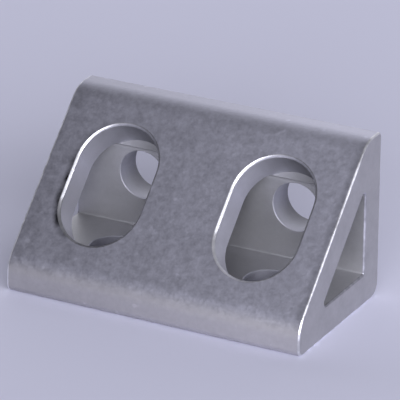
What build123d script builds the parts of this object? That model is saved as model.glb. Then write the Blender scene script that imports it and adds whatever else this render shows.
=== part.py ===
"""Inside corner bracket for one-inch T-slot framing, with two bolts in each leg.

It is a slice of closed triangular extrusion.  Two legs meet at a right angle, a sloping web
joins their tips, and two milled slots through the web let a bolt and its key reach the
drilled holes in both legs.

X runs along the extrusion.  The base leg lies on Z = 0 and the upright leg stands at the
back, on +Y.  The origin is under the middle of the bracket.
"""
import os

from build123d import *

# ---- driving dimensions, millimetres -------------------------------------------------

length = 47.625           # along the extrusion, from saw cut to saw cut
base_reach = 25.4         # from the nose to the upright mounting face
upright_reach = 25.4      # from the base mounting face to the crown
base_wall = 4.8           # thickness of the base leg
upright_wall = 4.8        # thickness of the upright leg
web_wall = 4.75           # thickness of the sloping web
nose_height = 4.5         # flat front edge of the base leg, up to the slope
crown_depth = 4.5         # flat top edge of the upright leg, up to the slope

heel_radius = 2.2         # outside corner between the two mounting faces
toe_radius = 1.1          # under the nose
crown_radius = 0.8        # back edge of the crown
nose_blend_radius = 5.0   # where the web turns down into the nose
crown_blend_radius = 5.0  # where the web turns over into the crown
acute_radius = 0.6        # the two sharp corners of the hollow
root_radius = 0.3         # the square corner of the hollow

bolt_pitch = 25.4         # between the two bolts of a leg, one framing pitch apart
bolt_hole_diameter = 7.4  # clearance hole
base_bolt_inset = 13.1    # base leg holes, forward of the upright mounting face
upright_bolt_inset = 13.1  # upright leg holes, above the base mounting face

slot_width = 12.7         # access slot, along the extrusion
slot_length = 19.3        # access slot, up the web
slot_rise = 0.25          # middle of the slot, up the web from where it faces the bolts
slot_overtravel = 0.4     # how far the slot cutter passes the web, into the hollow

end_edge_radius = 0.3     # tumbled edges of the two sawn ends
slot_edge_break = 0.4     # round the slots, on the outside of the web
hole_edge_break = 0.1     # round both ends of the bolt holes

# ---- the section ---------------------------------------------------------------------

front = -base_reach / 2
back = base_reach / 2
slope_foot = Vector(front, nose_height)
slope_head = Vector(back - crown_depth, upright_reach)
uphill = (slope_head - slope_foot).normalized()
inward = Vector(uphill.Y, -uphill.X)


def under_slope_at_height(depth, height):
    """Section point at a height, on the line that lies a depth below the slope."""
    start = slope_foot + inward * depth
    return start + uphill * ((height - start.Y) / uphill.Y)


def under_slope_at_reach(depth, reach):
    """Section point at a reach along Y, on the line that lies a depth below the slope."""
    start = slope_foot + inward * depth
    return start + uphill * ((reach - start.X) / uphill.X)


hollow_toe = under_slope_at_height(web_wall, base_wall)
hollow_root = Vector(back - upright_wall, base_wall)
hollow_tip = under_slope_at_reach(web_wall, back - upright_wall)

# ---- the planes that the slots and holes are cut from --------------------------------

# The axes of a base bolt and of the upright bolt above it cross inside the hollow.  The slot
# faces that crossing, square to the web.
bolt_crossing = Vector(back - base_bolt_inset, upright_bolt_inset)
slot_middle = slope_foot + uphill * ((bolt_crossing - slope_foot).dot(uphill) + slot_rise)

web_plane = Plane(
    origin=(0, slot_middle.X, slot_middle.Y),
    x_dir=(1, 0, 0),
    z_dir=(0, -inward.X, -inward.Y),
)
base_mounting_plane = Plane(
    origin=(0, bolt_crossing.X, 0),
    x_dir=(1, 0, 0),
    z_dir=(0, 0, -1),
)
upright_mounting_plane = Plane(
    origin=(0, back, bolt_crossing.Y),
    x_dir=(1, 0, 0),
    z_dir=(0, 1, 0),
)

# ---- the bracket ---------------------------------------------------------------------

with BuildPart() as corner_bracket:
    # Extrusion: a right triangle with blunt tips, round a triangular hollow.
    with BuildSketch(Plane.YZ):
        with BuildLine():
            FilletPolyline(
                (front, 0),
                (back, 0),
                (back, upright_reach),
                slope_head,
                slope_foot,
                radius=[
                    toe_radius,
                    heel_radius,
                    crown_radius,
                    crown_blend_radius,
                    nose_blend_radius,
                ],
                close=True,
            )
        make_face()
        with BuildLine():
            FilletPolyline(
                hollow_toe,
                hollow_root,
                hollow_tip,
                radius=[acute_radius, root_radius, acute_radius],
                close=True,
            )
        make_face(mode=Mode.SUBTRACT)
    extrude(amount=length / 2, both=True)

    # Tumbled edges of the sawn ends, outside and round the hollow.
    sawn_ends = corner_bracket.faces().filter_by(Axis.X).sort_by(Axis.X)
    fillet(sawn_ends[0].edges() + sawn_ends[-1].edges(), end_edge_radius)

    # Access slots, milled square to the web; the cutter nicks both legs where they meet it.
    with BuildSketch(web_plane):
        with GridLocations(bolt_pitch, 0, 2, 1):
            SlotOverall(slot_length, slot_width, rotation=90)
    extrude(amount=-(web_wall + slot_overtravel), mode=Mode.SUBTRACT)

    # Deburred rims of the slots, on the outside of the web.
    web_face = corner_bracket.faces().sort_by(Axis((0, 0, 0), web_plane.z_dir))[-1]
    chamfer(web_face.inner_wires().edges(), slot_edge_break)

    # Bolt holes through both legs, deburred on the mounting face and in the hollow.
    for mounting_plane, wall in (
        (base_mounting_plane, base_wall),
        (upright_mounting_plane, upright_wall),
    ):
        hollow_plane = -mounting_plane.offset(-wall)
        for rim_plane in (mounting_plane, hollow_plane):
            with Locations(rim_plane):
                with GridLocations(bolt_pitch, 0, 2, 1):
                    CounterSinkHole(
                        bolt_hole_diameter / 2,
                        bolt_hole_diameter / 2 + hole_edge_break,
                        depth=wall,
                        counter_sink_angle=90,
                    )

corner_bracket.part.label = "corner_bracket"
os.makedirs("parts", exist_ok=True)
export_step(corner_bracket.part, "parts/corner_bracket.step")
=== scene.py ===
"""Looks for the inside corner bracket: anodised extrusion, sawn ends, milled slots, drilled holes.

The bracket stands on its base leg, with the upright leg at the back, and its length runs along X.
"""
import math

import bmesh
import bpy
from mathutils import Matrix, Vector


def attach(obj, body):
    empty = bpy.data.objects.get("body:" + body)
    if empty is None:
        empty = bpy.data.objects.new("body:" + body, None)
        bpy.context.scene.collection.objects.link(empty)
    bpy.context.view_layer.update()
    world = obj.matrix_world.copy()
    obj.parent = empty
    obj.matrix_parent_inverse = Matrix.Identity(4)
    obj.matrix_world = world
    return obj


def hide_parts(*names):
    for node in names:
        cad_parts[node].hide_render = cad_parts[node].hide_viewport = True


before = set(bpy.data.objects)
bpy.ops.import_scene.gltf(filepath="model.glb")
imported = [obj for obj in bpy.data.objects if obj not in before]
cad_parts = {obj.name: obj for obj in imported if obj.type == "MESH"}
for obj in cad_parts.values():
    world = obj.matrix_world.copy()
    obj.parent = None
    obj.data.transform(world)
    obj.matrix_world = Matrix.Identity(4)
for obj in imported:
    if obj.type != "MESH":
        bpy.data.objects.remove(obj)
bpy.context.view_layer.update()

MM = 0.001

# ---------------------------------------------------------------- the bracket's own sizes
# In metres, as the part has them.

LENGTH = 47.625 * MM
REACH = 25.4 * MM
LEG_WALL = 4.8 * MM
WEB_WALL = 4.75 * MM
NOSE_HEIGHT = 4.5 * MM
CROWN_DEPTH = 4.5 * MM
BOLT_PITCH = 25.4 * MM
BOLT_INSET = 13.1 * MM
HOLE_RADIUS = 3.7 * MM
HOLE_BREAK = 0.1 * MM
SLOT_WIDTH = 12.7 * MM
SLOT_LENGTH = 19.3 * MM
SLOT_RISE = 0.25 * MM
SLOT_BREAK = 0.4 * MM
SLOT_STRAIGHT = (SLOT_LENGTH - SLOT_WIDTH) / 2   # half the length of the slot's straight sides
END_EDGE = 0.3 * MM

# The web runs uphill from its foot, and web_out points squarely out of it.
web_foot = Vector((0, -REACH / 2, NOSE_HEIGHT))
uphill = Vector((0, REACH - CROWN_DEPTH, REACH - NOSE_HEIGHT)).normalized()
web_out = Vector((0, -uphill.z, uphill.y))
bolt_crossing = Vector((0, REACH / 2 - BOLT_INSET, BOLT_INSET))
slot_middle = web_foot + uphill * ((bolt_crossing - web_foot).dot(uphill) + SLOT_RISE)
web_inside = web_foot - web_out * WEB_WALL
hollow_tip = web_inside + uphill * ((REACH / 2 - LEG_WALL - web_inside.y) / uphill.y)

# ---------------------------------------------------------------- where the finishes change

# The rolled rims' two middle lines move this far outwards from the flat break.
ROLL_SHORT = SLOT_BREAK * 0.08
ROLL_LONG = SLOT_BREAK * 0.23

TIP_ROUND = 1.5 * MM          # round the hollow's upper corner
SKIN_DEPTH = 1 * MM           # a point deeper than this inside the outer faces is in the hollow
WEB_BORDER = 0.9 * MM         # how far down its rounded borders the web's finish fades
FOOT_FADE = 1 * MM            # half the height over which the web's colour fades at its foot
FLOOR_LIGHT_FADE = (LEG_WALL + 1 * MM, LEG_WALL + 5 * MM)   # heights over which the painted light on the hollow's floor fades up the wall
MOUTH_FADE = 1 * MM           # how high above the floor the mouth edge's painted highlight stays dimmer

# Worn patches lie beside the web's -X end.  They are full up to the first distance and gone past
# the second, and noise pulls both back unevenly by up to WORN_RAGGED.
WORN_REACH = (4 * MM, 9.5 * MM)
WORN_RAGGED = 9 * MM
WORN_DARK = 0.16

# A dark stain lies beside the slots' -X rims, and a handled strip along the web's +X end.
STAIN_REACH = 1.1 * MM
HANDLED_REACH = (0.5 * MM, 1.6 * MM)
HANDLED_DARK = 0.28

# The scratch's ends are given along X and up the web from its foot.
SCRATCH_FROM = (9.55 * MM, 27.65 * MM)
SCRATCH_TO = (11.05 * MM, 28.9 * MM)
SCRATCH_WIDTH = 0.42 * MM
SCRATCH_TAPER = 0.6           # the share of its half length that is full
SCRATCH_LIGHT = 0.3
FLECK_LIGHT = 0.16

# Noise scales, per metre.
MOTTLE_SCALES = {"Grain": 3000.0, "Speck": 1250.0, "Cloud": 330.0}
GRAIN_HEIGHT = 0.3            # how high the grain stands, against the specks' 1
WORN_SCALE = 520.0
PATCH_SCALE = 420.0
RAGGED_SCALE = 620.0
FLECK_SCALE = 640.0
PATCH_FADE = (0.35, 0.6)      # the noise's values over which a patch fades in
FLECK_FADE = (0.70, 0.78)

# Tolerances for telling which tool made a face.
CLOSE = 0.05 * MM
ROLL_CLOSE = 0.02 * MM
SAME_POINT = 0.001 * MM
END_FACING = 0.99
END_TURNED = 0.01
WALL_TURNED = 0.1
RIM_FACING = 0.96
BORE_FACING = 0.9
SMOOTH_ANGLE = math.radians(28)
JOIN_ANGLE = math.radians(20)


# ---------------------------------------------------------------- node helpers

def new_group(name, inputs, outputs):
    """A shader node group with its named inputs, their usual values, and its outputs.

    An input whose value is None is a vector, and the rest are numbers.
    """
    group = bpy.data.node_groups.new(name, "ShaderNodeTree")
    for socket_name, value in inputs.items():
        kind = "NodeSocketVector" if value is None else "NodeSocketFloat"
        socket = group.interface.new_socket(socket_name, in_out="INPUT", socket_type=kind)
        if value is not None:
            socket.default_value = value
    for socket_name in outputs:
        group.interface.new_socket(socket_name, in_out="OUTPUT", socket_type="NodeSocketFloat")
    return group


def add(tree, kind, inputs=None, **settings):
    """A node with its settings, and its inputs set to a value or joined to another's output."""
    node = tree.nodes.new(kind)
    for key, value in settings.items():
        setattr(node, key, value)
    for key, value in (inputs or {}).items():
        if isinstance(value, bpy.types.NodeSocket):
            tree.links.new(value, node.inputs[key])
        else:
            node.inputs[key].default_value = value
    return node


def math_node(tree, operation, *values):
    node = add(tree, "ShaderNodeMath", dict(enumerate(values)), operation=operation)
    return node.outputs[0]


def product(tree, first, *others):
    for other in others:
        first = math_node(tree, "MULTIPLY", first, other)
    return first


def noise(tree, where, scale, detail=2.0):
    node = add(tree, "ShaderNodeTexNoise", {"Vector": where, "Scale": scale, "Detail": detail})
    return node.outputs["Fac"]


def ramp(tree, value, start, end, at_start=0.0, at_end=1.0):
    """Goes smoothly from one level to the other as the value goes from start to end."""
    node = add(tree, "ShaderNodeMapRange",
               {"Value": value, "From Min": start, "From Max": end,
                "To Min": at_start, "To Max": at_end},
               interpolation_type="SMOOTHSTEP")
    return node.outputs["Result"]


def axis(tree, where, name):
    return add(tree, "ShaderNodeSeparateXYZ", {0: where}).outputs[name]


def distance_along(tree, where, direction, start):
    """How far a point lies along a direction, from the point start."""
    along = add(tree, "ShaderNodeVectorMath", {0: where, 1: direction}, operation="DOT_PRODUCT")
    return math_node(tree, "SUBTRACT", along.outputs["Value"], start.dot(direction))


def use_group(tree, group, place):
    return add(tree, "ShaderNodeGroup", {"Position": place}, node_tree=group)


# ---------------------------------------------------------------- shared effects

def build_mottle():
    """Satin speckle in three sizes.  Shade is centred on 0 and Height on 0.5."""
    group = new_group("mottle", {"Position": None, "Grain": 0.2, "Speck": 0.4, "Cloud": 0.3},
                      ["Shade", "Height"])
    start = add(group, "NodeGroupInput")
    where = start.outputs["Position"]
    fields = {name: noise(group, where, scale, 1.0) for name, scale in MOTTLE_SCALES.items()}
    shade = 0.0
    for name, field in fields.items():
        centred = math_node(group, "SUBTRACT", field, 0.5)
        shade = math_node(group, "ADD", product(group, centred, start.outputs[name]), shade)
    height = math_node(group, "MULTIPLY_ADD", fields["Grain"], GRAIN_HEIGHT, fields["Speck"])
    add(group, "NodeGroupOutput", {"Shade": shade, "Height": height})
    return group


def build_web_side():
    """Web is 1 on the sloping web and falls to 0 down its rounded borders.

    Worn is 1 in ragged dark patches beside the web's -X end, and 0 a few millimetres in.
    """
    group = new_group("web_side", {"Position": None}, ["Web", "Worn"])
    where = add(group, "NodeGroupInput").outputs["Position"]
    depth = distance_along(group, where, -web_out, web_foot)
    web = ramp(group, depth, WEB_BORDER, 0.0)
    ragged_along = math_node(group, "MULTIPLY_ADD", noise(group, where, WORN_SCALE), WORN_RAGGED,
                             axis(group, where, "X"))
    full, gone = (reach - LENGTH / 2 for reach in WORN_REACH)
    worn = ramp(group, ragged_along, gone, full)
    add(group, "NodeGroupOutput", {"Web": web, "Worn": product(group, worn, web)})
    return group


def build_slot_place():
    """Where a point lies about its own slot.

    Across runs from -X to +X and Rise up the web, both from the slot's middle.  Off is how far
    the point lies outside the wall.
    """
    group = new_group("slot_place", {"Position": None}, ["Across", "Rise", "Off"])
    where = add(group, "NodeGroupInput").outputs["Position"]
    half = BOLT_PITCH / 2
    shifted = math_node(group, "SUBTRACT", axis(group, where, "X"), half)
    across = math_node(group, "WRAP", shifted, half, -half)
    rise = distance_along(group, where, uphill, slot_middle)
    beyond = math_node(group, "SUBTRACT", math_node(group, "ABSOLUTE", rise), SLOT_STRAIGHT)
    beyond = math_node(group, "MAXIMUM", beyond, 0.0)
    reach = add(group, "ShaderNodeCombineXYZ", {"X": across, "Y": beyond})
    length = add(group, "ShaderNodeVectorMath", {0: reach.outputs[0]}, operation="LENGTH")
    off = math_node(group, "SUBTRACT", length.outputs["Value"], SLOT_WIDTH / 2)
    add(group, "NodeGroupOutput", {"Across": across, "Rise": rise, "Off": off})
    return group


def build_scratch():
    """A short shallow scratch high on the web: Mark is 1 along its middle."""
    group = new_group("scratch", {"Position": None}, ["Mark"])
    where = add(group, "NodeGroupInput").outputs["Position"]
    start, end = (web_foot + uphill * up + Vector((along, 0, 0))
                  for along, up in (SCRATCH_FROM, SCRATCH_TO))
    run = (end - start).normalized()
    half = (end - start).length / 2
    middle = (start + end) / 2
    off = math_node(group, "ABSOLUTE", distance_along(group, where, run.cross(web_out), middle))
    along = math_node(group, "ABSOLUTE", distance_along(group, where, run, middle))
    mark = product(group, ramp(group, off, SCRATCH_WIDTH, 0.0),
                   ramp(group, along, half, half * SCRATCH_TAPER))
    add(group, "NodeGroupOutput", {"Mark": mark})
    return group


MOTTLE = build_mottle()
WEB_SIDE = build_web_side()
SLOT_PLACE = build_slot_place()
SCRATCH = build_scratch()


# ---------------------------------------------------------------- shade from place to place

def ragged(tree, place, low, high):
    """Goes unevenly between low and high every millimetre or so."""
    return ramp(tree, noise(tree, place, RAGGED_SCALE), *PATCH_FADE, at_start=low, at_end=high)


def stain(tree, place, web, patchy):
    """A patchy dark stain beside each slot's -X rim, darkest low down and towards -X."""
    slot = use_group(tree, SLOT_PLACE, place)
    near = ramp(tree, slot.outputs["Off"], SLOT_BREAK + STAIN_REACH, SLOT_BREAK)
    beside = ramp(tree, slot.outputs["Across"], -SLOT_WIDTH * 0.15, -SLOT_WIDTH * 0.45)
    low_down = ramp(tree, slot.outputs["Rise"], 0.0, SLOT_LENGTH * 0.35, at_start=1.0, at_end=0.2)
    strength = ramp(tree, axis(tree, place, "X"), LENGTH * 0.1, -LENGTH * 0.3,
                    at_start=0.12, at_end=0.8)
    return product(tree, near, beside, web, patchy, low_down, strength)


def skin_level(tree, place):
    """The outer skin darkens towards -X, with worn patches, stains, light flecks and a scratch."""
    side = use_group(tree, WEB_SIDE, place)
    web = side.outputs["Web"]
    along = axis(tree, place, "X")
    patchy = ramp(tree, noise(tree, place, PATCH_SCALE), *PATCH_FADE, at_start=0.6, at_end=1.0)
    level = product(
        tree,
        ramp(tree, along, -LENGTH / 2, LENGTH / 2, at_start=0.88, at_end=1.12),
        ramp(tree, web, 0.0, 1.0, at_start=1.08, at_end=0.99))
    full, gone = (LENGTH / 2 - reach for reach in HANDLED_REACH)
    handled = ramp(tree, along, gone, full, at_end=HANDLED_DARK)
    for dark in (product(tree, side.outputs["Worn"], WORN_DARK),
                 stain(tree, place, web, patchy),
                 product(tree, handled, patchy, web)):
        level = math_node(tree, "SUBTRACT", level, dark)
    scratch = use_group(tree, SCRATCH, place)
    flecks = ramp(tree, noise(tree, place, FLECK_SCALE, 1.0), *FLECK_FADE, at_end=FLECK_LIGHT)
    for light in (flecks, product(tree, scratch.outputs["Mark"], SCRATCH_LIGHT, web)):
        level = math_node(tree, "ADD", level, light)
    return level


def floor_light_level(tree, place):
    """Painted light: the hollow is lighter on its floor and at the foot of its back wall, where
    light through the slots falls.
    """
    return ramp(tree, axis(tree, place, "Z"), *FLOOR_LIGHT_FADE, at_start=1.22, at_end=1.0)


def bore_light_level(tree, place):
    """Painted light and shade: the upright leg's bores are lighter by the hollow, where light comes
    in, and darker towards the back.
    """
    return ramp(tree, axis(tree, place, "Y"), REACH / 2 - LEG_WALL, REACH / 2,
                at_start=1.2, at_end=0.65)


def edge_highlight_level(tree, place):
    """Painted highlight: the sawn ends' edges are unevenly brighter along their length, and dimmer
    towards the crown.
    """
    fading = ramp(tree, axis(tree, place, "Z"), REACH * 0.82, REACH * 0.97,
                  at_start=1.0, at_end=0.75)
    return product(tree, ragged(tree, place, low=0.75, high=1.1), fading)


def mouth_highlight_level(tree, place):
    """Painted highlight: the hollow's mouth edge is unevenly brighter along it, and dimmer along
    the floor.
    """
    dull = ramp(tree, axis(tree, place, "Z"), LEG_WALL, LEG_WALL + MOUTH_FADE,
                at_start=0.7, at_end=1.0)
    return product(tree, ragged(tree, place, low=0.85, high=1.15), dull)


def wall_light_level(tree, place):
    """Painted light and shade: the slots' -X walls, which face the light, are lighter, and the
    walls towards +X darker.
    """
    across = use_group(tree, SLOT_PLACE, place).outputs["Across"]
    return ramp(tree, across, -SLOT_WIDTH * 0.5, SLOT_WIDTH * 0.25, at_start=1.5, at_end=0.45)


def rim_highlight_level(tree, place):
    """Painted highlight: the rims are brightest on their -X side, dimmer towards +X, and dimmest at
    the foot of the -X slot.
    """
    slot = use_group(tree, SLOT_PLACE, place)
    sideways = ramp(tree, slot.outputs["Across"], -SLOT_WIDTH * 0.3, SLOT_WIDTH * 0.3,
                    at_start=1.0, at_end=0.5)
    along = axis(tree, place, "X")
    at_foot, at_top = (
        ramp(tree, along, -BOLT_PITCH / 2, BOLT_PITCH / 2, at_start=left, at_end=right)
        for left, right in ((0.36, 0.98), (0.70, 0.84)))
    highlight_up_slot = ramp(tree, slot.outputs["Rise"], -SLOT_LENGTH / 2, 0.0,
                    at_start=at_foot, at_end=at_top)
    return product(tree, sideways, highlight_up_slot)


# ---------------------------------------------------------------- finishes

GLOSS_SPREAD = 0.3            # how much the mottle moves the roughness
OFF_WEB_MOTTLE = 0.45         # the mottle's strength on outer faces other than the web


def metal(name, colour, roughness, mottling, bump_depth, metallic=0.85, level_of=None,
          web_only=False, foot_colour=None):
    """A satin aluminium surface whose shade and gloss vary with the mottle.

    mottling is how strong the grain, specks and clouds are.  level_of adds the nodes for a
    surface whose shade changes from place to place.  With web_only, the mottle is full on the
    web and fainter on the other outer faces.  foot_colour is the colour below the web's foot.
    """
    material = bpy.data.materials.new(name)
    material.use_nodes = True
    tree = material.node_tree
    tree.nodes.clear()
    place = add(tree, "ShaderNodeTexCoord").outputs["Object"]
    mottle = use_group(tree, MOTTLE, place)
    for size, strength in zip(MOTTLE_SCALES, mottling):
        mottle.inputs[size].default_value = strength
    speckle = mottle.outputs["Shade"]
    height = mottle.outputs["Height"]
    if web_only:
        web = use_group(tree, WEB_SIDE, place).outputs["Web"]
        strength = ramp(tree, web, 0.0, 1.0, at_start=OFF_WEB_MOTTLE)
        speckle = product(tree, speckle, strength)
        height = product(tree, height, strength)
    shade = math_node(tree, "ADD", speckle, level_of(tree, place) if level_of else 1.0)
    if foot_colour:
        above = ramp(tree, axis(tree, place, "Z"), NOSE_HEIGHT - FOOT_FADE, NOSE_HEIGHT + FOOT_FADE)
        # Input 0 is a vector mix's factor, and 4 and 5 are its two ends.
        blend = add(tree, "ShaderNodeMix", {0: above, 4: foot_colour, 5: colour},
                    data_type="VECTOR")
        colour = blend.outputs[1]
    tint = add(tree, "ShaderNodeVectorMath", {0: colour, "Scale": shade}, operation="SCALE")
    gloss = math_node(tree, "MULTIPLY_ADD", speckle, GLOSS_SPREAD, roughness)
    bump = add(tree, "ShaderNodeBump", {"Height": height, "Strength": 1.0, "Distance": bump_depth})
    surface = add(tree, "ShaderNodeBsdfPrincipled",
                  {"Base Color": tint.outputs[0], "Roughness": gloss,
                   "Normal": bump.outputs[0], "Metallic": metallic})
    add(tree, "ShaderNodeOutputMaterial", {"Surface": surface.outputs[0]})
    return material


ALUMINIUM = (0.42, 0.42, 0.465)
SKIN_ALUMINIUM = (0.42, 0.42, 0.487)
FOOT_ALUMINIUM = (0.43, 0.42, 0.44)
SAWN_ALUMINIUM = (0.425, 0.42, 0.44)
SHADED_ALUMINIUM = (0.39, 0.39, 0.405)
CORNER_ALUMINIUM = (0.30, 0.30, 0.32)
BARE_ALUMINIUM = (0.80, 0.80, 0.84)

# How strong the grain, specks and clouds are on each kind of surface.
SKIN = (0.20, 0.34, 0.16)
SAWN = (0.10, 0.14, 0.22)
POLISHED = (0.10, 0.20, 0.20)
FAINT = (0.08, 0.10, 0.12)

# How deep the mottle dents a surface.
COARSE = 0.035 * MM
FINE = 0.01 * MM

FINISHES = {
    "outer skin": metal("anodised_skin", SKIN_ALUMINIUM, 0.50, SKIN, COARSE,
                        level_of=skin_level, web_only=True, foot_colour=FOOT_ALUMINIUM),
    "inner skin": metal("anodised_hollow", SHADED_ALUMINIUM, 0.55, FAINT, FINE,
                        level_of=floor_light_level),
    # Painted light: the hollow's upper corner has its own darker, less metallic colour, which
    # renders as a soft light band instead of a dark crease line.
    "corner": metal("hollow_corner", CORNER_ALUMINIUM, 0.60, FAINT, FINE, metallic=0.3),
    "sawn end": metal("sawn_end", SAWN_ALUMINIUM, 0.50, SAWN, FINE),
    "slot wall": metal("milled_slot", ALUMINIUM, 0.45, FAINT, FINE, level_of=wall_light_level),
    "bore": metal("drilled_hole", ALUMINIUM, 0.60, FAINT, FINE, level_of=bore_light_level),
    "rolled rim": metal("rolled_rim", BARE_ALUMINIUM, 0.34, POLISHED, FINE, level_of=rim_highlight_level),
    "sawn edge": metal("sawn_edge", BARE_ALUMINIUM, 0.34, POLISHED, FINE, level_of=edge_highlight_level),
    "mouth edge": metal("mouth_edge", ALUMINIUM, 0.45, POLISHED, FINE, level_of=mouth_highlight_level),
}
ROLLED_FINISHES = ("rolled rim", "sawn edge", "mouth edge")


# ---------------------------------------------------------------- the bracket

def off_slot(point):
    """How far a point lies outside the wall of its nearer slot, along the web."""
    across = abs(point.x) - BOLT_PITCH / 2
    along = abs((point - slot_middle).dot(uphill)) - SLOT_STRAIGHT
    return math.hypot(across, max(along, 0.0)) - SLOT_WIDTH / 2


def off_hole(point):
    """How far a point lies outside the wall of its nearest bolt hole."""
    across = abs(point.x) - BOLT_PITCH / 2
    if point.z < LEG_WALL + CLOSE:
        return math.hypot(across, point.y - bolt_crossing.y) - HOLE_RADIUS
    return math.hypot(across, point.z - bolt_crossing.z) - HOLE_RADIUS


def below_web(point):
    """How deep a point lies under the web's outer face."""
    return (web_foot - point).dot(web_out)


def in_hollow(point):
    """Whether a point lies well inside the outer faces of both legs and the web."""
    return (SKIN_DEPTH < point.z < REACH - SKIN_DEPTH and abs(point.y) < REACH / 2 - SKIN_DEPTH
            and below_web(point) > SKIN_DEPTH)


def finish_of(face):
    """The finish that the extruder, saw, slot mill, drill or deburring tool left on a face."""
    centre = face.calc_center_median()
    from_end = LENGTH / 2 - abs(centre.x)
    if from_end < CLOSE and abs(face.normal.x) > END_FACING:
        return "sawn end"
    if from_end < END_EDGE and abs(face.normal.x) > END_TURNED:
        return "mouth edge" if in_hollow(centre) else "sawn edge"
    offsets = [off_slot(v.co) for v in face.verts]
    facing = face.normal.dot(web_out)
    if all(abs(off) < CLOSE for off in offsets) and abs(facing) < WALL_TURNED:
        return "slot wall"
    if (facing < RIM_FACING and below_web(centre) < SLOT_BREAK
            and max(offsets) < SLOT_BREAK + CLOSE):
        return "rolled rim"
    along_bolt = face.normal.z if centre.z < LEG_WALL + CLOSE else face.normal.y
    near_hole = all(-CLOSE < off_hole(v.co) < HOLE_BREAK + CLOSE for v in face.verts)
    if near_hole and abs(along_bolt) < BORE_FACING:
        return "bore"
    if not in_hollow(centre):
        return "outer skin"
    from_tip = math.hypot(centre.y - hollow_tip.y, centre.z - hollow_tip.z)
    return "corner" if from_tip < TIP_ROUND else "inner skin"


def on_mouth(v):
    """Whether a corner lies on the line where a slot's break meets the web."""
    return abs(below_web(v.co)) < ROLL_CLOSE and abs(off_slot(v.co) - SLOT_BREAK) < CLOSE


def on_wall(v):
    """Whether a corner lies on the line where a slot's break meets its wall."""
    return abs(below_web(v.co) - SLOT_BREAK) < ROLL_CLOSE and abs(off_slot(v.co)) < CLOSE


def spans_break(piece):
    """Whether a face or edge runs from the mouth line to the wall line."""
    return any(on_mouth(v) for v in piece.verts) and any(on_wall(v) for v in piece.verts)


def roll_slot_rims(shape):
    """Rounds the flat break round each slot's mouth into a rolled edge of three facets."""
    strip = [face for face in shape.faces
             if spans_break(face) and all(on_mouth(v) or on_wall(v) for v in face.verts)]
    bmesh.ops.join_triangles(shape, faces=strip, angle_face_threshold=JOIN_ANGLE,
                             angle_shape_threshold=math.pi)
    across = [edge for edge in shape.edges if spans_break(edge)]
    bmesh.ops.subdivide_edges(shape, edges=across, cuts=2, use_grid_fill=True)
    for v in shape.verts:
        depth = below_web(v.co)
        between = ROLL_CLOSE < depth < SLOT_BREAK - ROLL_CLOSE
        if not (between and CLOSE < off_slot(v.co) < SLOT_BREAK):
            continue
        up_slot = max(-SLOT_STRAIGHT, min(SLOT_STRAIGHT, (v.co - slot_middle).dot(uphill)))
        centre = slot_middle + uphill * up_slot
        centre.x = math.copysign(BOLT_PITCH / 2, v.co.x)
        outward = v.co - centre
        outward = (outward - web_out * outward.dot(web_out)).normalized()
        if depth < SLOT_BREAK / 2:
            v.co += outward * ROLL_SHORT + web_out * ROLL_LONG
        else:
            v.co -= outward * ROLL_LONG + web_out * ROLL_SHORT


def make_bracket():
    """The bracket's own solid, with closed smooth surfaces and a finish for each tool's faces."""
    shape = bmesh.new()
    shape.from_mesh(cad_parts["corner_bracket"].data)
    bmesh.ops.remove_doubles(shape, verts=shape.verts, dist=SAME_POINT)
    roll_slot_rims(shape)
    names = list(FINISHES)
    for face in shape.faces:
        face.smooth = True
        face.material_index = names.index(finish_of(face))
    for edge in shape.edges:
        rolled = any(names[face.material_index] in ROLLED_FINISHES for face in edge.link_faces)
        edge.smooth = rolled or edge.calc_face_angle(0.0) < SMOOTH_ANGLE
    mesh = bpy.data.meshes.new("bracket")
    shape.to_mesh(mesh)
    shape.free()
    piece = bpy.data.objects.new("bracket", mesh)
    bpy.context.scene.collection.objects.link(piece)
    for material in FINISHES.values():
        mesh.materials.append(material)
    even = piece.modifiers.new("even_shading", "WEIGHTED_NORMAL")
    even.keep_sharp = True
    even.weight = 100
    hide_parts("corner_bracket")
    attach(piece, "root")


make_bracket()


# ---------------------------------------------------------------- studio

LAMP_COLOUR = (0.925, 0.925, 1.0)
PAPER_COLOUR = (0.655, 0.66, 0.79, 1)
ROOM_LIGHT = 0.17
FLOOR_GAP = 0.02 * MM         # keeps the floor clear of the bracket's flat underside
FLOOR_SIZE = 3.0


def make_floor():
    """A wide floor of pale matt paper."""
    ground = bmesh.new()
    bmesh.ops.create_grid(ground, x_segments=1, y_segments=1, size=FLOOR_SIZE)
    bmesh.ops.translate(ground, verts=ground.verts, vec=(0, 0, -FLOOR_GAP))
    mesh = bpy.data.meshes.new("studio_floor")
    ground.to_mesh(mesh)
    ground.free()
    floor = bpy.data.objects.new("studio_floor", mesh)
    bpy.context.scene.collection.objects.link(floor)
    paper = bpy.data.materials.new("pale_paper")
    paper.use_nodes = True
    coat = paper.node_tree.nodes["Principled BSDF"]
    coat.inputs["Base Color"].default_value = PAPER_COLOUR
    coat.inputs["Roughness"].default_value = 0.9
    coat.inputs["Specular IOR Level"].default_value = 0.2
    mesh.materials.append(paper)


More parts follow.
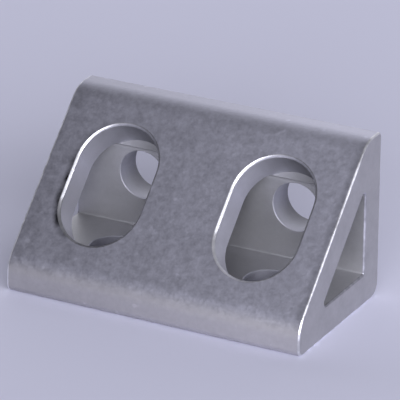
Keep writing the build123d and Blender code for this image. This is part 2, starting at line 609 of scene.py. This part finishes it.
def make_softbox(name, compass, height, distance, width, tall, radiance):
    """A rectangular softbox that faces the bracket.  Compass 0 stands on +X and 90 on +Y."""
    lamp = bpy.data.lights.new(name, "AREA")
    lamp.shape = "RECTANGLE"
    lamp.size = width
    lamp.size_y = tall
    lamp.color = LAMP_COLOUR
    lamp.energy = radiance * math.pi * width * tall
    turn = math.radians(compass)
    place = Vector((distance * math.cos(turn), distance * math.sin(turn), height))
    towards = (place - Vector((0, 0, REACH / 2))).normalized()
    holder = bpy.data.objects.new(name, lamp)
    holder.rotation_mode = "QUATERNION"
    holder.rotation_quaternion = towards.to_track_quat("Z", "Y")
    holder.location = place
    holder.visible_camera = False
    bpy.context.scene.collection.objects.link(holder)


def make_surroundings():
    """A dim plain room round the lamps."""
    world = bpy.data.worlds.new("studio")
    bpy.context.scene.world = world
    world.use_nodes = True
    room = world.node_tree.nodes["Background"]
    room.inputs["Color"].default_value = (*LAMP_COLOUR, 1)
    room.inputs["Strength"].default_value = ROOM_LIGHT


def make_camera(azimuth, elevation, tilt, distance, aim, lens):
    """Looks at the point aim from that far away, azimuth 0 being straight along +Y."""
    az = math.radians(azimuth)
    el = math.radians(elevation)
    right = Vector((math.cos(az), math.sin(az), 0))
    up = Vector((-math.sin(az) * math.sin(el), math.cos(az) * math.sin(el), math.cos(el)))
    back = right.cross(up)
    turned_right = right * math.cos(tilt) - up * math.sin(tilt)
    turned_up = right * math.sin(tilt) + up * math.cos(tilt)
    camera = bpy.data.objects.new("camera", bpy.data.cameras.new("camera"))
    camera.data.sensor_width = 36
    camera.data.lens = lens
    camera.data.clip_start = 0.01
    camera.data.clip_end = 20
    place = Matrix((turned_right, turned_up, back)).transposed().to_4x4()
    place.translation = aim[0] * turned_right + aim[1] * turned_up + back * distance
    place.translation += Vector((0, 0, REACH / 2))
    camera.matrix_world = place
    bpy.context.scene.collection.objects.link(camera)
    bpy.context.scene.camera = camera


make_floor()
make_surroundings()
make_softbox("wide_key", compass=-46, height=0.8, distance=2.4, width=4.0, tall=1.5, radiance=7.1)
make_softbox("back_right", compass=85, height=0.35, distance=0.6, width=1.3, tall=0.6,
             radiance=0.52)
make_softbox("back_left", compass=125, height=0.3, distance=0.6, width=1.0, tall=0.5,
             radiance=0.75)
make_camera(azimuth=28.1275, elevation=22.8051, tilt=-0.0052, distance=0.50097,
            aim=(1.087 * MM, 1.697 * MM), lens=312.83)

bpy.context.scene.view_settings.view_transform = "Standard"
